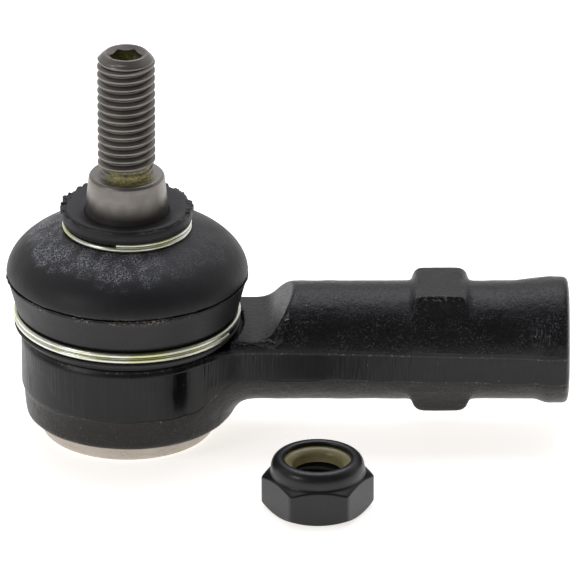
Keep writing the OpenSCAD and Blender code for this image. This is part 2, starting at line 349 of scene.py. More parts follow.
VOXEL = 0.33
MOST_TRIANGLES = 190000
RAMP_X = 24.5
RAMP_RISE = 1.42
PAD_X = 54.35
PAD_HALF_LENGTH = 4.45
PAD_HALF_WIDTH = 6.2
PAD_HEIGHT = 10.95
NECK_R = 16.4
LAND_R = 17.05
LIP_R = 15.15
SEAT_R = 14.05
LIP_MOUTH_R = 12
ROD_BORE_R = 7.35
ROD_BORE_LENGTH = 42.5
forged_steel = coated_forging("black_coated_forged_steel", 0.735)
grid = [np.arange(-20, shank_end + 2, VOXEL), np.arange(-20, 20.1, VOXEL), np.arange(-17.5, 12.6, VOXEL)]
x, y, z = np.meshgrid(*grid, indexing="ij", sparse=True)
rho = np.sqrt(x * x + y * y)
across = np.sqrt(y * y + z * z)
hammered = 0.05 * lumps(grid, 2.4, 3) + 0.03 * lumps(grid, 1.05, 5)

# The socket's side: sheared above the parting line and drafted below it. The lower die was 0.25 mm
# out of line with the upper one
parting = PARTING_Z + PARTING_RISE * ramp((x - PARTING_FROM) / (PARTING_TO - PARTING_FROM))
under = ramp((parting - z) / 0.4)
draft = np.clip(-7.5 - z, 0, 6) * 0.5 / 6
socket = np.sqrt((x - 0.25 * under) ** 2 + y * y) - SOCKET_R + draft + (0.1 + hammered) * under
socket = meet(meet(socket, SOCKET_LOW - z, 1.0), z - 3.7, 0.6)
socket = np.maximum(socket, rho - SOCKET_R + np.clip(z - 1.3, 0, 5) * 0.6)

# The shank: sheared flat on its sides, swollen at its mouth, cut down beside the boot
swell_low = ramp((x - 70.6) / 2.4)
swell_high = ramp((x - 66) / 7.5)
swell = swell_low + (swell_high - swell_low) * ramp((z + 4) / 8)
shank = across - SHANK_R - 0.7 * swell + hammered
sinks = ramp((x - SINK_FROM) / (SINK_TO - SINK_FROM))
flat = np.abs(y) - 9.98 - 0.1 * sinks - (0.075 + 0.093 * sinks) * z - 0.72 * swell
shank = meet(shank, flat, 0.15)
shank = meet(shank, x - shank_end + 0.55 * (across / 11) ** 4, 0.9)
over_ramp = (z - FLAT_Z - (x - RAMP_X) * RAMP_RISE) / math.hypot(1, RAMP_RISE)
shank = meet(shank, join(z - FLAT_Z, over_ramp, 1.7), 0.3)
shank = np.maximum(shank, 4 - x)

# The pads that a spanner grips, above and below
pad_down = np.clip(PAD_HEIGHT - np.abs(z - 0.1), -9, 5)
pad = meet(np.abs(x - PAD_X) - PAD_HALF_LENGTH - 0.22 * pad_down, -0.1 - pad_down, 1.7)
pad = meet(pad, (np.abs(y) - PAD_HALF_WIDTH - 0.4 * pad_down) * 0.93, 0.25) + 0.7 * hammered
forging = join(join(socket, shank, 4.4), pad, 0.9)

# Turned after forging: the boot's groove and its relief, the seat bore, the stud's mouth, the lip
forging = np.maximum(forging, np.minimum(20.2 - rho, z - 2.5))
neck = np.maximum(rho - NECK_R, np.maximum(z - 8, -z))
land = np.maximum(rho - LAND_R, np.abs(z - 7.5) - 0.5)
lip = meet(rho - LIP_R, lip_low - z, 0.9)
lip = np.maximum(lip, z + 10)
forging = np.minimum(np.minimum(forging, neck), np.minimum(land, lip))
mouth = np.maximum(rho - 10.2 - (z - 5) * 1.3 / 3, 4.9 - z)
seat_bore = np.maximum(rho - SEAT_R, np.maximum(z - 5, -14.6 - z))
lip_mouth = np.maximum(rho - LIP_MOUTH_R, z + 14)
rod_bore = across - ROD_BORE_R - np.clip(x - shank_end + 0.8, 0, 2)
rod_bore = np.maximum(rod_bore, shank_end - ROD_BORE_LENGTH - x)
hollow = np.minimum(np.minimum(mouth, seat_bore), np.minimum(lip_mouth, rod_bore))
forging = np.maximum(forging, -hollow)

volume = vdb.FloatGrid(background=3.0)
volume.copyFromArray(np.clip(forging, -3, 3).astype(np.float32))
volume.transform = vdb.createLinearTransform(voxelSize=VOXEL)
points, quads = volume.convertToQuads(isovalue=0.0)
points = points + np.array([axis[0] for axis in grid])
housing = new_piece("forged_housing", [(points, quads.tolist())], forged_steel)
tidy(housing, 180, soften=2)
fewer = housing.modifiers.new("fewer_faces", "DECIMATE")
fewer.ratio = MOST_TRIANGLES / (2 * len(quads))
decimated = housing.evaluated_get(bpy.context.evaluated_depsgraph_get())
housing.data = bpy.data.meshes.new_from_object(decimated)
housing.modifiers.remove(fewer)
tidy(housing, 180)
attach(housing, "housing")
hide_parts("housing")


def uneven(places, cell, seed):
    """Smooth random values from -1 to 1 along a line."""
    values = np.random.default_rng(seed).uniform(-1, 1, int(np.ptp(places) / cell) + 3)
    return np.interp((places - places[0]) / cell, np.arange(len(values)), values)


def bead(path, radii, sides=14):
    """A closed bead along a path, as thick at each point as its radius."""
    along = np.gradient(path, axis=0)
    out = np.cross(along, (0, 1, 0))
    out /= np.linalg.norm(out, axis=1)[:, None]
    up = np.cross(out, along)
    up /= np.linalg.norm(up, axis=1)[:, None]
    turn = full_turn(sides)
    rings = []
    for point, radius, u, v in zip(path, radii, out, up):
        rings.append(point + radius * (np.outer(np.cos(turn), u) + np.outer(np.sin(turn), v)))
    points, faces = skin(rings)
    last = len(points) - sides
    return points, faces + [list(range(sides)), list(range(last, last + sides))]


# The burr that the cutter left along the front edge of the cut, thickest beside the ramp
burr_x = np.linspace(18.4, 28.5, 190)
burr_z = FLAT_Z - 0.15 + np.clip(burr_x - RAMP_X - 0.3, 0, 9) * RAMP_RISE
burr_y = -np.sqrt(SHANK_R ** 2 - burr_z ** 2) - 0.05
burr_r = 0.17 + 0.6 * ramp((burr_x - 21.8) / 2.2) * (1 - ramp((burr_x - 26.4) / 2.0))
burr_r = burr_r * (1 + 0.3 * uneven(burr_x, 0.5, 21)) * (1 + 0.15 * uneven(burr_x, 0.16, 22))
burr_r = burr_r * ramp((burr_x - 18.3) / 1.2) * ramp((28.6 - burr_x) / 1.2) + 0.01
burr_off = 0.75 * burr_r
burr_z = burr_z - 0.2 * burr_off + 0.12 * uneven(burr_x, 0.6, 23)
burr_path = np.stack([burr_x + burr_off, burr_y - 0.1 * burr_r, burr_z], axis=1)
burr_shape = bead(burr_path, burr_r)
burr = new_piece("cut_edge_burr", [burr_shape], coated_forging("chipped_coat_on_burr", 0.625))
tidy(burr, 70)
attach(burr, "housing")


# Thread in the shank
# An M14 x 1.5 female thread, tapped into the shank's bore for the steering rod. It is its own piece
# of the same steel, set into the forging's bore, so that its turns can be fine.

def tapped_steel(centre):
    """Tapped steel, unevenly darkened by oil and dirt, with fine tool marks across its axis."""
    material, tree, shader, place = new_material("tapped_steel", centre)
    fine = noise(tree, place, 0.16, 2, stretch=(1, 30, 30))
    set_shader(tree, shader, {
        "Base Color": mix(tree, noise(tree, place, 1.4, 4), "#3a3835", "#6d6a64"),
        "Metallic": 0.9,
        "Roughness": blend_values(tree, fine, 0.3, 0.5),
        "Normal": bump(tree, fine, 0.012),
    })
    return material


def group_inputs(tree, names):
    """Float inputs of a geometry tree by name, with its vector and material inputs."""
    tree.interface.new_socket("Geometry", in_out="OUTPUT", socket_type="NodeSocketGeometry")
    tree.interface.new_socket("Geometry", in_out="INPUT", socket_type="NodeSocketGeometry")
    for name in names:
        tree.interface.new_socket(name, in_out="INPUT", socket_type="NodeSocketFloat")
    for name in ("Centre", "Tilt"):
        tree.interface.new_socket(name, in_out="INPUT", socket_type="NodeSocketVector")
    tree.interface.new_socket("Material", in_out="INPUT", socket_type="NodeSocketMaterial")
    return tree.nodes.new("NodeGroupInput").outputs


def finish_tree(tree, given, shape):
    """Moves a shape drawn in millimetres to its centre, adds the object's mesh and sets the material."""
    placed = add(tree, "GeometryNodeTransform", {
        "Geometry": shape, "Translation": given["Centre"], "Rotation": given["Tilt"], "Scale": [MM] * 3,
    }).outputs[0]
    both = add(tree, "GeometryNodeJoinGeometry", {0: given["Geometry"]})
    tree.links.new(placed, both.inputs[0])
    real = add(tree, "GeometryNodeRealizeInstances", {0: both.outputs[0]}).outputs[0]
    inputs = {"Geometry": real, "Material": given["Material"]}
    done = add(tree, "GeometryNodeSetMaterial", inputs).outputs[0]
    tree.links.new(done, tree.nodes.new("NodeGroupOutput").inputs[0])


def helix(tree, given):
    """A helix about Z that turns counter-clockwise from its start, right-handed if it rises."""
    path = add(tree, "GeometryNodeCurveSpiral", {
        "Resolution": 72, "Rotations": given["Turns"], "Start Radius": given["Radius"],
        "End Radius": given["Radius"], "Height": given["Rise"], "Reverse": True,
    }).outputs[0]
    lifted = add(tree, "GeometryNodeTransform", {
        "Geometry": path,
        "Translation": add(tree, "ShaderNodeCombineXYZ", {2: given["Start"]}).outputs[0],
        "Rotation": add(tree, "ShaderNodeCombineXYZ", {2: given["From angle"]}).outputs[0],
    }).outputs[0]
    return add(tree, "GeometryNodeSetCurveNormal", {0: lifted}, mode="Z_UP").outputs[0]


def thread_tree():
    """A ridge with sloping flanks along a helix. It fades at both ends, and a cone trims its crest."""
    tree = bpy.data.node_groups.new("thread", "GeometryNodeTree")
    given = group_inputs(tree, [
        "Radius", "Start", "Rise", "Turns", "From angle", "Depth", "Root width", "Crest width",
        "Tip radius", "Tip height",
    ])
    half_root = product(tree, given["Root width"], 0.5)
    half_crest = product(tree, given["Crest width"], 0.5)
    corners = [
        (0.0, product(tree, half_root, -1.0)),
        (given["Depth"], product(tree, half_crest, -1.0)),
        (given["Depth"], half_crest),
        (0.0, half_root),
    ]
    places = {
        f"Point {i + 1}": add(tree, "ShaderNodeCombineXYZ", {0: a, 1: b}).outputs[0]
        for i, (a, b) in enumerate(corners)
    }
    section = add(tree, "GeometryNodeCurvePrimitiveQuadrilateral", places, mode="POINTS").outputs[0]
    along = tree.nodes.new("GeometryNodeSplineParameter").outputs["Factor"]
    from_end = maths(tree, "MINIMUM", along, maths(tree, "SUBTRACT", 1.0, along))
    fade = maths(tree, "MINIMUM", 1.0, product(tree, from_end, given["Turns"], 3.0))
    swept = add(tree, "GeometryNodeCurveToMesh", {
        "Curve": helix(tree, given), "Profile Curve": section,
        "Scale": maths(tree, "MAXIMUM", fade, 0.05), "Fill Caps": True,
    }).outputs[0]
    x, y, z, radius = axes_and_radius(tree, tree.nodes.new("GeometryNodeInputPosition").outputs[0])
    limit = maths(tree, "ADD", given["Tip radius"], maths(tree, "SUBTRACT", given["Tip height"], z))
    squeeze = maths(tree, "MINIMUM", 1.0, maths(tree, "DIVIDE", limit, radius))
    trimmed = add(tree, "ShaderNodeCombineXYZ", {
        0: product(tree, x, squeeze), 1: product(tree, y, squeeze), 2: z,
    }).outputs[0]
    shape = add(tree, "GeometryNodeSetPosition", {"Geometry": swept, "Position": trimmed}).outputs[0]
    finish_tree(tree, given, shape)
    return tree


def grow(obj, tree, values, centre=ball, tilt=(0, 0, 0)):
    """Runs a geometry tree once on an object and leaves it a plain mesh."""
    modifier = obj.modifiers.new("grow", "NODES")
    modifier.node_group = tree
    material = obj.data.materials[0]
    values = {**values, "Centre": centre, "Tilt": tilt, "Material": material}
    for item in tree.interface.items_tree:
        if item.in_out == "INPUT" and item.name in values:
            modifier[item.identifier] = values[item.name]
    depsgraph = bpy.context.evaluated_depsgraph_get()
    grown = bpy.data.meshes.new_from_object(obj.evaluated_get(depsgraph))
    obj.modifiers.remove(modifier)
    grown.materials.clear()
    grown.materials.append(material)
    grown.polygons.foreach_set("material_index", [0] * len(grown.polygons))
    obj.data = grown


def outline(corners, steps=5):
    """Points along (radius, height, rounding) corners, each rounded by a parabola."""
    points = []
    for i, (r, h, rounding) in enumerate(corners):
        corner = np.array([r, h], float)
        if rounding == 0 or i in (0, len(corners) - 1):
            points.append((r, h))
            continue
        ends = []
        for other in (corners[i - 1], corners[i + 1]):
            way = np.array(other[:2], float) - corner
            length = np.linalg.norm(way)
            ends.append(corner + way / length * min(rounding, length * 0.5))
        for t in np.linspace(0, 1, steps):
            p = ends[0] * (1 - t) ** 2 + corner * 2 * t * (1 - t) + ends[1] * t * t
            points.append((p[0], p[1]))
    return points


def turned(profile, angles, ring=False):
    """A profile of (radius, height) turned about Z. A ring's profile closes on itself."""
    rings = []
    for radius, height in profile:
        radius = np.broadcast_to(radius, angles.shape)
        height = np.broadcast_to(height, angles.shape)
        rings.append(np.stack([radius * np.cos(angles), radius * np.sin(angles), height], axis=1))
    return skin(rings, ring)


threads = thread_tree()
PITCH = 1.5
FEMALE_RIDGE = {
    "From angle": 0.0, "Root width": 1.4, "Crest width": 0.36, "Tip radius": 0.0, "Tip height": 1000.0,
}
BORE_ROOT_R = 7.1
BORE_TURNS = 26.5
bore_minor_r = mounts["rod_thread"]["dims"]["r_mm"]
bore_mouth = Vector(mounts["rod_thread"]["pos_m"])
sleeve = turned(outline([
    (7.55, -42, 0), (7.55, -0.72, 0), (7.3, -0.72, 0), (7.05, -1.0, 0), (7.05, -42, 0),
]), full_turn(96), ring=True)
bore_thread = new_piece("rod_bore_thread", [sleeve], tapped_steel(bore_mouth), centre=Vector((0, 0, 0)))
bore_thread.data.transform(Matrix.Rotation(math.pi / 2, 4, "Y"))
bore_thread.data.transform(Matrix.Translation(bore_mouth))
grow(bore_thread, threads, {
    "Radius": BORE_ROOT_R, "Start": -41.0, "Rise": PITCH * BORE_TURNS, "Turns": BORE_TURNS,
    "Depth": bore_minor_r - BORE_ROOT_R, **FEMALE_RIDGE,
}, centre=bore_mouth, tilt=(0, math.pi / 2, 0))
tidy(bore_thread)
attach(bore_thread, "housing")


# Seats, spring and closing plate
# Two acetal seats hold the ball, a tempered disc spring presses the lower one up, and a pressed
# plate closes the socket under the rolled lip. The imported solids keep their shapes.

def acetal():
    """Off-white acetal, smooth from its mould and lightly greased."""
    material, tree, shader, place = new_material("moulded_acetal")
    cloud = noise(tree, place, 5, 3)
    set_shader(tree, shader, {
        "Base Color": mix(tree, cloud, "#ddd8c8", "#ece8dc"),
        "Roughness": blend_values(tree, cloud, 0.3, 0.45),
        "Normal": bump(tree, noise(tree, place, 0.5, 2), 0.01),
    })
    return material


def tempered_steel():
    """Oil-hardened spring steel, brown to blue from the heat."""
    material, tree, shader, place = new_material("oil_tempered_spring_steel")
    set_shader(tree, shader, {
        "Base Color": mix(tree, noise(tree, place, 6, 3), "#3b3733", "#4a5058"),
        "Metallic": 1.0,
        "Roughness": blend_values(tree, noise(tree, place, 0.8, 3), 0.3, 0.5),
    })
    return material


def pressed_plate():
    """Bright pressed steel. Its scratches from the strip mill are drawn 0.25 mm wide, so that they show."""
    material, tree, shader, place = new_material("pressed_strip_steel")
    grain = noise(tree, place, 0.25, 3, stretch=(1, 30, 1))
    set_shader(tree, shader, {
        "Base Color": mix(tree, noise(tree, place, 4, 3), "#a39d94", "#c4beb4"),
        "Metallic": 0.9,
        "Roughness": blend_values(tree, grain, 0.32, 0.5),
        "Normal": bump(tree, grain, 0.01),
    })
    return material


def dress(node, material):
    """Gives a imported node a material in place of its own."""
    mesh = frame["nodes"][node].data
    mesh.materials.clear()
    mesh.materials.append(material)


seat_plastic = acetal()
dress("upper_ball_seat", seat_plastic)
dress("lower_ball_seat", seat_plastic)
dress("disc_spring", tempered_steel())
dress("end_cap", pressed_plate())


# Ball stud
# Ball, neck, taper and thread are one piece of forged and turned steel. The M10 x 1.5 thread is
# rolled, and a hexagon for a 5 mm key is pressed into the end. Thread-locker stains it.

SHOULDER_Z = 31.8
STUD_TOP = 54.6


def stud_steel():
    """Turned steel: fine rings on the taper, darker low down and in the thread, ochre thread-locker."""
    material, tree, shader, place = new_material("turned_stud_steel")
    x, y, z, radius = axes_and_radius(tree, place)
    rings = noise(tree, place, 0.14, 2, stretch=(60, 60, 1))
    cloud = noise(tree, place, 3.5, 3)
    steel = mix(tree, rings, "#7e7a75", "#94908b")
    steel = mix(tree, step(tree, cloud, 0.3, 0.8), steel, "#76726d")
    # Darker and less metallic low down, just above the boot's collar
    darker_low_down = product(tree, step(tree, z, 29.2 * MM, 26.0 * MM), 0.8)
    steel = mix(tree, darker_low_down, steel, "#43403d")
    in_thread = between(tree, z, 32.3, 33.1, 52.9, 53.4)
    steel = mix(tree, product(tree, in_thread, 0.25), steel, "#5b5753")
    # The thread's roots are darker still: painted shade in its grooves
    root_shade = product(tree, in_thread, step(tree, radius, 4.8 * MM, 4.35 * MM), 0.5)
    steel = mix(tree, root_shade, steel, "#2a2725")

    # Thread-locker on the front of the shoulder and in the key socket
    at_shoulder = between(tree, z, SHOULDER_Z - 0.3, SHOULDER_Z - 0.05, SHOULDER_Z + 0.4, SHOULDER_Z + 2.8)
    near_thread = step(tree, radius, 5.8 * MM, 5.2 * MM)
    front = step(tree, maths(tree, "SUBTRACT", y, product(tree, x, 0.2)), -1.9 * MM, -3.4 * MM)
    blotch = step(tree, noise(tree, place, 0.8, 3), 0.22, 0.5)
    locker = product(tree, at_shoulder, near_thread, front, blotch)
    in_key = product(tree, step(tree, radius, 3.1 * MM, 2.9 * MM), between(tree, z, 40, 44, 52.6, 53.7))
    locker = largest(tree, locker, in_key)
    ochre = mix(tree, step(tree, noise(tree, place, 0.4, 3), 0.3, 0.7), "#54501c", "#aca268")
    steel = mix(tree, locker, steel, ochre)
    less_metal_low_down = product(tree, step(tree, z, 28.0 * MM, 25.5 * MM), 0.9)
    metal = blend_values(tree, largest(tree, locker, less_metal_low_down), 0.9, 0.1)
    set_shader(tree, shader, {
        "Base Color": steel,
        "Metallic": metal,
        "Roughness": blend_values(tree, cloud, 0.3, 0.48),
        "Normal": bump(tree, rings, 0.012),
    })
    return material


def taper_r(height):
    """Radius of the stud's taper."""
    return 6.54 + (SHOULDER_Z - height) * 0.102


def hexagon(angles, across_flats, rounding):
    """Distance from the middle to a hexagon's edge, corners on +X and -X, rounded a little."""
    off = (angles + math.pi / 6) % (math.pi / 3) - math.pi / 6
    flat = across_flats / 2 / np.cos(math.pi / 6 - np.abs(off))
    corner = across_flats / math.sqrt(3) - rounding * 0.35
    return meet_down(flat, corner, rounding)


def meet_down(a, b, round_by):
    """The lower of two values, with a smooth change between them."""
    return -meet(-a, -b, round_by)


def hexagon_angles(steps):
    """Angles round a hexagon, closer together near its corners."""
    t = np.linspace(-1, 1, steps, endpoint=False)
    sector = np.sign(t) * np.abs(t) ** 1.6 * math.pi / 6
    return np.concatenate([sector + k * math.pi / 3 for k in range(6)])


KEY_AF = 5.0
BALL_R = 11
THREAD_RISE = 21.0
stud_angles = hexagon_angles(24)
key = hexagon(stud_angles, KEY_AF, 0.12)
countersink_r = 3.45
key_rim = STUD_TOP - (countersink_r - key) * 0.75
neck_turn = math.acos(6 / BALL_R)
ball_turns = np.linspace(-math.pi / 2, neck_turn, 40)
ball_arc = [(BALL_R * math.cos(t), BALL_R * math.sin(t)) for t in ball_turns]
stud_profile = ball_arc + outline([
    (6.0, 9.3, 0), (6.0, 12.5, 1.0), (6.5, 14.5, 1.0), (7.1, 18.5, 1.0), (taper_r(20.5), 20.5, 0.4),
    (taper_r(31.4), 31.4, 0.25), (6.2, SHOULDER_Z, 0.15), (4.7, 31.85, 0.3), (4.5, 32.2, 0.2),
    (4.5, 33.0, 0.3), (4.28, 33.3, 0.2), (4.28, STUD_TOP - 1.9, 0.1), (4.75, STUD_TOP - 1.5, 0.1),
    (4.82, STUD_TOP - 1.2, 0.3), (3.7, STUD_TOP, 0.15),
    (countersink_r, STUD_TOP, 0.1), (countersink_r - 0.08, STUD_TOP - 0.06, 0),
])
stud_profile += [(key, key_rim), (key, STUD_TOP - 6), (0.6, STUD_TOP - 6.6), (0, STUD_TOP - 6.7)]
stud = new_piece("ball_stud_body", [turned(stud_profile, stud_angles)], stud_steel())
grow(stud, threads, {
    "Radius": 4.2, "Start": 33.0, "Rise": THREAD_RISE, "Turns": THREAD_RISE / PITCH, "From angle": -1.2,
    "Depth": 0.8, "Root width": 1.44, "Crest width": 0.3, "Tip radius": 3.75, "Tip height": STUD_TOP,
})
tidy(stud)
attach(stud, "stud")
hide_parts("ball_stud")


# Dust boot
# A black chloroprene rubber moulding. Its bead sits in the socket's groove and its collar hugs the
# taper. The mould leaves a line of flash round the middle and ragged flash round the collar.

SEAM_Z = 13.1


def boot_rubber():
    """Black chloroprene, bloomed and dusted with talc where it was handled least."""
    material, tree, shader, place = new_material("chloroprene_rubber")
    x, y, z, _ = axes_and_radius(tree, place)
    cloud = noise(tree, place, 4.5, 4)
    skin = mix(tree, cloud, "#121215", "#1b1b1f")

    # Talc high on the dome, most on its left, and a few stray specks all over. Its grains are far
    # finer than the 0.24 mm that they are drawn at, so that they show
    drift = off_middle(tree, noise(tree, place, 5, 4), 5 * MM)
    dusty = maths(tree, "ADD", step(tree, noise(tree, place, 2.4, 3), 0.34, 0.6), 0.25)
    high = step(tree, maths(tree, "ADD", z, drift), 18.0 * MM, 19.6 * MM)
    high = product(tree, high, step(tree, z, 22.2 * MM, 21.6 * MM))
    right = maths(tree, "ADD", product(tree, x, 0.87), product(tree, y, 0.5))
    in_front = product(tree, step(tree, y, 4 * MM, -4 * MM), 0.2)
    left = largest(tree, step(tree, right, 3.5 * MM, -6.0 * MM), in_front)
    powder = step(tree, noise(tree, place, 0.24, 3), 0.46, 0.62)
    talc = product(tree, powder, dusty, high, left)
    stray = product(tree, step(tree, noise(tree, place, 0.42, 2), 0.76, 0.8), 0.5)
    talc = product(tree, largest(tree, talc, stray), 0.58)

    # The mould line, its groove painted darker as painted shade, with crumbs along it
    off_seam = maths(tree, "SUBTRACT", z, SEAM_Z * MM)
    off_seam = maths(tree, "ADD", off_seam, off_middle(tree, cloud, 0.6 * MM))
    seam_shade = step(tree, maths(tree, "ABSOLUTE", off_seam), 0.35 * MM, 0.1 * MM)
    off_crumbs = maths(tree, "ABSOLUTE", maths(tree, "ADD", off_seam, 0.25 * MM))
    near_seam = step(tree, off_crumbs, 0.9 * MM, 0.3 * MM)
    crumbs = product(tree, near_seam, step(tree, noise(tree, place, 0.4, 4), 0.54, 0.62))
    crumbs = product(tree, crumbs, step(tree, noise(tree, place, 7, 2), 0.47, 0.56))
    colour = mix(tree, talc, skin, "#a9aab2")
    colour = mix(tree, product(tree, seam_shade, 0.8), colour, "#0a0a0b")
    colour = mix(tree, product(tree, crumbs, 0.7), colour, "#8d7f6e")
    set_shader(tree, shader, {
        "Base Color": colour,
        "Roughness": blend_values(tree, cloud, 0.42, 0.6),
        "Specular IOR Level": 0.4,
        "Normal": bump(tree, noise(tree, place, 0.5, 4), 0.035, bump(tree, cloud, 0.15)),
    })
    return material


def flash_tree():
    """A torn fin of moulding flash round a circle. Its width comes and goes with a noise, down to Least,
    and In front says how much of it is left on the side of -Y."""
    tree = bpy.data.node_groups.new("flash", "GeometryNodeTree")
    names = ["Radius", "Height", "Width", "Thickness", "Tear size", "Least", "In front", "Seed"]
    given = group_inputs(tree, names)
    circle = {"Resolution": 420, "Radius": given["Radius"]}
    path = add(tree, "GeometryNodeCurvePrimitiveCircle", circle).outputs[0]
    upright = add(tree, "GeometryNodeSetCurveNormal", {0: path}, mode="Z_UP").outputs[0]
    section = add(tree, "GeometryNodeCurvePrimitiveQuadrilateral", {
        "Width": given["Width"], "Height": given["Thickness"],
    }, mode="RECTANGLE").outputs[0]
    where = tree.nodes.new("GeometryNodeInputPosition").outputs[0]
    scale = maths(tree, "DIVIDE", 1.0, given["Tear size"])
    tears = add(tree, "ShaderNodeTexNoise", {
        "Vector": where, "W": given["Seed"], "Scale": scale, "Detail": 1.5,
    }, noise_dimensions="4D").outputs[0]
    behind = step(tree, axes_and_radius(tree, where)[1], -6.0, -2.0)
    kept = largest(tree, behind, given["In front"])
    width = product(tree, step(tree, tears, 0.32, 0.7), kept)
    width = blend_values(tree, width, given["Least"], 1.0)
    swept = add(tree, "GeometryNodeCurveToMesh", {
        "Curve": upright, "Profile Curve": section, "Scale": width,
    }).outputs[0]
    wave = add(tree, "ShaderNodeTexNoise", {
        "Vector": where, "W": given["Seed"], "Scale": product(tree, scale, 0.6),
    }, noise_dimensions="4D").outputs[0]
    lift = off_middle(tree, wave, product(tree, given["Thickness"], 2.5))
    lift = maths(tree, "ADD", lift, given["Height"])
    shape = add(tree, "GeometryNodeSetPosition", {
        "Geometry": swept, "Offset": add(tree, "ShaderNodeCombineXYZ", {2: lift}).outputs[0],
    }).outputs[0]
    finish_tree(tree, given, shape)
    return tree


def dome(radius, height, low, high, steps):
    """Points up an elliptical dome whose rim is at the mould line."""
    turns = np.linspace(low, high, steps)
    return [(radius * math.cos(t), SEAM_Z + height * math.sin(t)) for t in turns]


DOME_R = 21
DOME_INNER_R = 19.2
boot_angles = full_turn(160)
boot_profile = outline([
    (16.45, 2.6, 0), (18.4, 2.58, 0.3), (19.75, 3.9, 0.6), (19.6, 4.36, 0.3), (18.75, 4.4, 0.1),
    (18.75, 6.95, 0.1), (19.35, 7.0, 0.2), (19.75, 8.6, 1.0), (20.5, 11.4, 1.5), (20.9, 12.7, 0.3),
    (20.72, 12.98, 0.12), (20.45, SEAM_Z, 0.1), (20.75, 13.22, 0.12), (20.96, 13.5, 0.1),
])
boot_profile += dome(DOME_R, 10.1, 0.05, math.acos(11.3 / DOME_R), 30)
boot_profile += outline([
    (11.1, 21.5, 0.2), (10.3, 21.52, 0.1), (10.28, 22.82, 0.1), (10.75, 22.84, 0.1), (11.15, 23.1, 0.2),
    (11.45, 24.2, 0.7), (11.1, 25.55, 0.9), (10.1, 25.7, 0.9), (8.4, 25.2, 0.6),
    (taper_r(25) + 0.06, 24.9, 0.15), (taper_r(21.3) + 0.06, 21.3, 0.3), (8.6, 20.9, 0.5),
])
boot_profile += dome(DOME_INNER_R, 8.2, math.acos(10 / DOME_INNER_R), 0, 24)
boot_profile += outline([
    (18.6, 10.5, 0.8), (17.6, 8.5, 0.8), (17.1, 7.9, 0.2), (17.1, 6.95, 0.1), (16.45, 6.95, 0.1),
])
rubber = boot_rubber()
boot = new_piece("chloroprene_boot", [turned(boot_profile, boot_angles, ring=True)], rubber)
flash = flash_tree()
grow(boot, flash, {
    "Radius": 20.8, "Height": SEAM_Z, "Width": 0.85, "Thickness": 0.2, "Tear size": 2.2, "Least": 0.35,
    "In front": 1.0, "Seed": 2.0,
})
grow(boot, flash, {
    "Radius": 11.0, "Height": 25.1, "Width": 1.4, "Thickness": 1.0, "Tear size": 1.2, "Least": 0.3,
    "In front": 0.0, "Seed": 7.0,
})
tidy(boot, 50)
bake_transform(boot)
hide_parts("dust_boot")


# Wire rings
# Spring wire, zinc plated and passivated a patchy yellow. The upper ring goes round under the collar
# about 1.4 times and the lower one about 1.7 times, and a cut end of each shows in front.

def plated_wire():
    """Bright zinc with a thin yellow to green chromate film."""
    material, tree, shader, place = new_material("yellow_passivated_zinc")
    film = step(tree, noise(tree, place, 7, 3), 0.4, 0.68)
    set_shader(tree, shader, {
        "Base Color": mix(tree, film, "#e2e3da", "#c9cba0"),
        "Metallic": 1.0,
        "Roughness": blend_values(tree, noise(tree, place, 0.6, 3), 0.24, 0.42),
    })
    return material


def wire_tree():
    """A round wire along a helix, closed at its cut ends."""
    tree = bpy.data.node_groups.new("wire", "GeometryNodeTree")
    given = group_inputs(tree, ["Radius", "Start", "Rise", "Turns", "From angle", "Wire radius"])
    circle = {"Resolution": 14, "Radius": given["Wire radius"]}
    section = add(tree, "GeometryNodeCurvePrimitiveCircle", circle).outputs[0]
    swept = add(tree, "GeometryNodeCurveToMesh", {
        "Curve": helix(tree, given), "Profile Curve": section, "Fill Caps": True,
    }).outputs[0]
    finish_tree(tree, given, swept)
    return tree


zinc = plated_wire()
wires = wire_tree()
UPPER_FROM = math.radians(-99)
LOWER_FROM = 1.438
upper_ring = new_piece("upper_wire_ring", [], zinc)
grow(upper_ring, wires, {
    "Radius": 10.75, "Start": 22.95, "Rise": -1.2, "Turns": 1.4, "From angle": UPPER_FROM,
    "Wire radius": 0.5,
})
tidy(upper_ring)
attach(upper_ring, "boot_collar")
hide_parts("upper_boot_ring")

lower_ring = new_piece("lower_wire_ring", [], zinc)
grow(lower_ring, wires, {
    "Radius": 19.3, "Start": 6.45, "Rise": -1.65, "Turns": 1.7, "From angle": LOWER_FROM,
    "Wire radius": 0.47,
})
tidy(lower_ring)
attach(lower_ring, "housing")
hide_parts("lower_boot_ring")


# Lock nut
# A cold-forged M10 x 1.5 hexagon nut, black oxide finished, 17 mm across its flats. Its collar is
# rolled over a nylon ring that grips the stud's thread. It lies loose in front of the shank.

nut_place = Vector(mounts["nut_thread"]["pos_m"])
nut_place.z = floor_z


def black_oxide():
    """Hot black oxide on steel, oiled: black with a soft gloss, faintly clouded."""
    material, tree, shader, place = new_material("oiled_black_oxide", nut_place)
    cloud = noise(tree, place, 2.6, 4)
    fine = noise(tree, place, 0.35, 4)
    set_shader(tree, shader, {
        "Base Color": mix(tree, cloud, "#151517", "#202023"),
        "Roughness": blend_values(tree, fine, 0.22, 0.42),
        "Specular IOR Level": 0.4,
        "Normal": bump(tree, fine, 0.02),
    })
    return material


def nylon():
    """Natural polyamide, yellowed, that lets a little light in."""
    material, tree, shader, place = new_material("natural_nylon", nut_place)
    set_shader(tree, shader, {
        "Base Color": mix(tree, noise(tree, place, 2.5, 3), "#7b7450", "#989068"),
        "Roughness": 0.32,
        "Subsurface Weight": 0.25,
        "Subsurface Scale": 0.002,
        "Normal": bump(tree, noise(tree, place, 0.6, 2), 0.015),
    })
    return material


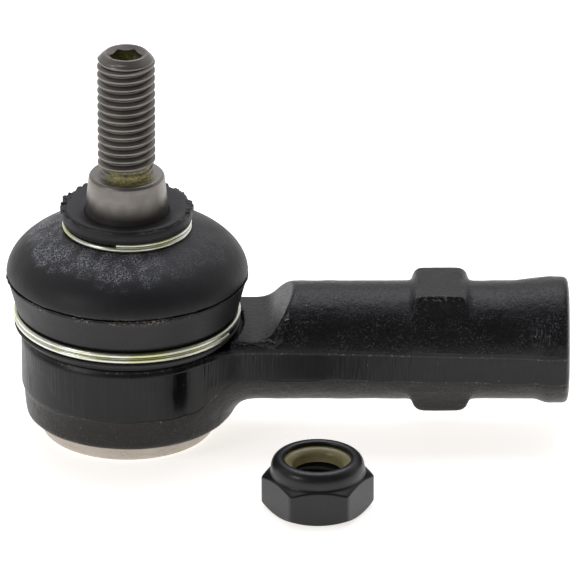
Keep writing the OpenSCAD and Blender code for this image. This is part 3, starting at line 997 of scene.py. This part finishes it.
NUT_AF = 17
HEX_H = 6.6
NUT_ROOT_R = 5.15
NUT_TURNS = 3.6
nut_angles = hexagon_angles(40)
nut_side = hexagon(nut_angles, NUT_AF, 0.3)
nut_profile = []
for height in np.concatenate([np.linspace(0, 1.3, 9), np.linspace(HEX_H - 1.5, HEX_H - 0.15, 10)]):
    cone = 8.05 + 1.73 * min(height, HEX_H - height)
    nut_profile.append((meet_down(nut_side, cone, 0.22), height))
nut_profile += outline([
    (8.2, 6.55, 0), (8.1, 6.8, 0.3), (8.12, 7.8, 0.6), (7.75, 8.9, 0.9), (6.9, 9.5, 0.6),
    (6.0, 9.42, 0.3), (5.75, 9.15, 0.2), (5.8, 8.65, 0.05), (6.35, 8.65, 0.05), (6.35, 6.2, 0.05),
    (5.1, 6.2, 0.1), (5.1, 1.0, 0.2), (5.5, 0.0, 0.2),
])
nut_shape = turned(nut_profile, nut_angles, ring=True)
nut = new_piece("lock_nut_body", [nut_shape], black_oxide(), centre=nut_place)
nut_turn = Matrix.Rotation(math.radians(1.5), 4, "Z")
nut.data.transform(Matrix.Translation(nut_place) @ nut_turn @ Matrix.Translation(-nut_place))
grow(nut, threads, {
    "Radius": NUT_ROOT_R, "Start": 0.4, "Rise": PITCH * NUT_TURNS, "Turns": NUT_TURNS, "Depth": -0.93,
    **FEMALE_RIDGE,
}, centre=nut_place)
tidy(nut)
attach(nut, "nut")
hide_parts("lock_nut")

insert_profile = outline([
    (4.3, 6.3, 0), (6.3, 6.3, 0.1), (6.3, 8.58, 0.1), (5.2, 8.58, 0.5), (4.3, 7.9, 0.5), (4.3, 6.5, 0),
])
insert_shape = turned(insert_profile, full_turn(96), ring=True)
insert = new_piece("nylon_ring", [insert_shape], nylon(), centre=nut_place)
tidy(insert)
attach(insert, "nut")
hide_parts("nylon_insert")


# Studio
# A light table inside a light tent, a large soft light overhead with a small one from the left, and
# a long lens that looks down on the part by 25 degrees.

def table_top():
    """Opal acrylic over a light, with a faint unevenness."""
    material, tree, shader, place = new_material("lit_opal_acrylic")
    white = mix(tree, noise(tree, place, 60, 2), "#f4f4f4", "#f8f8f8")
    set_shader(tree, shader, {
        "Base Color": white,
        "Roughness": 0.6,
        "Emission Color": (1.0, 0.97, 0.93, 1),
        "Emission Strength": 0.76,
    })
    return material


bpy.ops.mesh.primitive_plane_add(size=6, location=(ball.x, 0, floor_z))
table = bpy.context.object
table.name = "table"
table.data.materials.append(table_top())

CAMERA_DISTANCE = 2.0
ELEVATION = math.radians(25)
aim = ball + Vector((27.9, 3.8, 8.1)) * MM
camera_data = bpy.data.cameras.new("camera")
camera_data.lens = 718
camera_data.clip_start = 0.01
camera = bpy.data.objects.new("camera", camera_data)
camera.location = aim + Vector((0, -math.cos(ELEVATION), math.sin(ELEVATION))) * CAMERA_DISTANCE
camera.rotation_euler = (math.pi / 2 - ELEVATION, 0, 0)
bpy.context.scene.collection.objects.link(camera)
bpy.context.scene.camera = camera


def soft_light(name, place, size, power, colour):
    """A square area light that faces the part."""
    data = bpy.data.lights.new(name, "AREA")
    data.size = size
    data.energy = power
    light = bpy.data.objects.new(name, data)
    data.color = colour
    light.location = place
    light.rotation_euler = (aim - Vector(place)).to_track_quat("-Z", "Y").to_euler()
    bpy.context.scene.collection.objects.link(light)


soft_light("overhead", (ball.x + 0.05, 0.35, 0.75), 0.6, 3.0, (0.9, 0.91, 1.0))
soft_light("left_front", (ball.x - 0.7, -0.5, 0.45), 0.3, 1.6, (1.0, 1.0, 1.0))

# The walls of the light tent are bright behind and beside the part and dim behind the camera
world = bpy.data.worlds.new("light_tent")
world.use_nodes = True
tent = world.node_tree
sky = add(tent, "ShaderNodeSeparateXYZ", {0: add(tent, "ShaderNodeTexCoord").outputs["Generated"]})
back = step(tent, sky.outputs[1], -0.35, 0.6)
walls = tent.nodes["Background"]
walls.inputs["Color"].default_value = (1, 1, 1, 1)
tent.links.new(blend_values(tent, back, 0.11, 0.7), walls.inputs["Strength"])
bpy.context.scene.world = world
bpy.context.scene.view_settings.view_transform = "Standard"
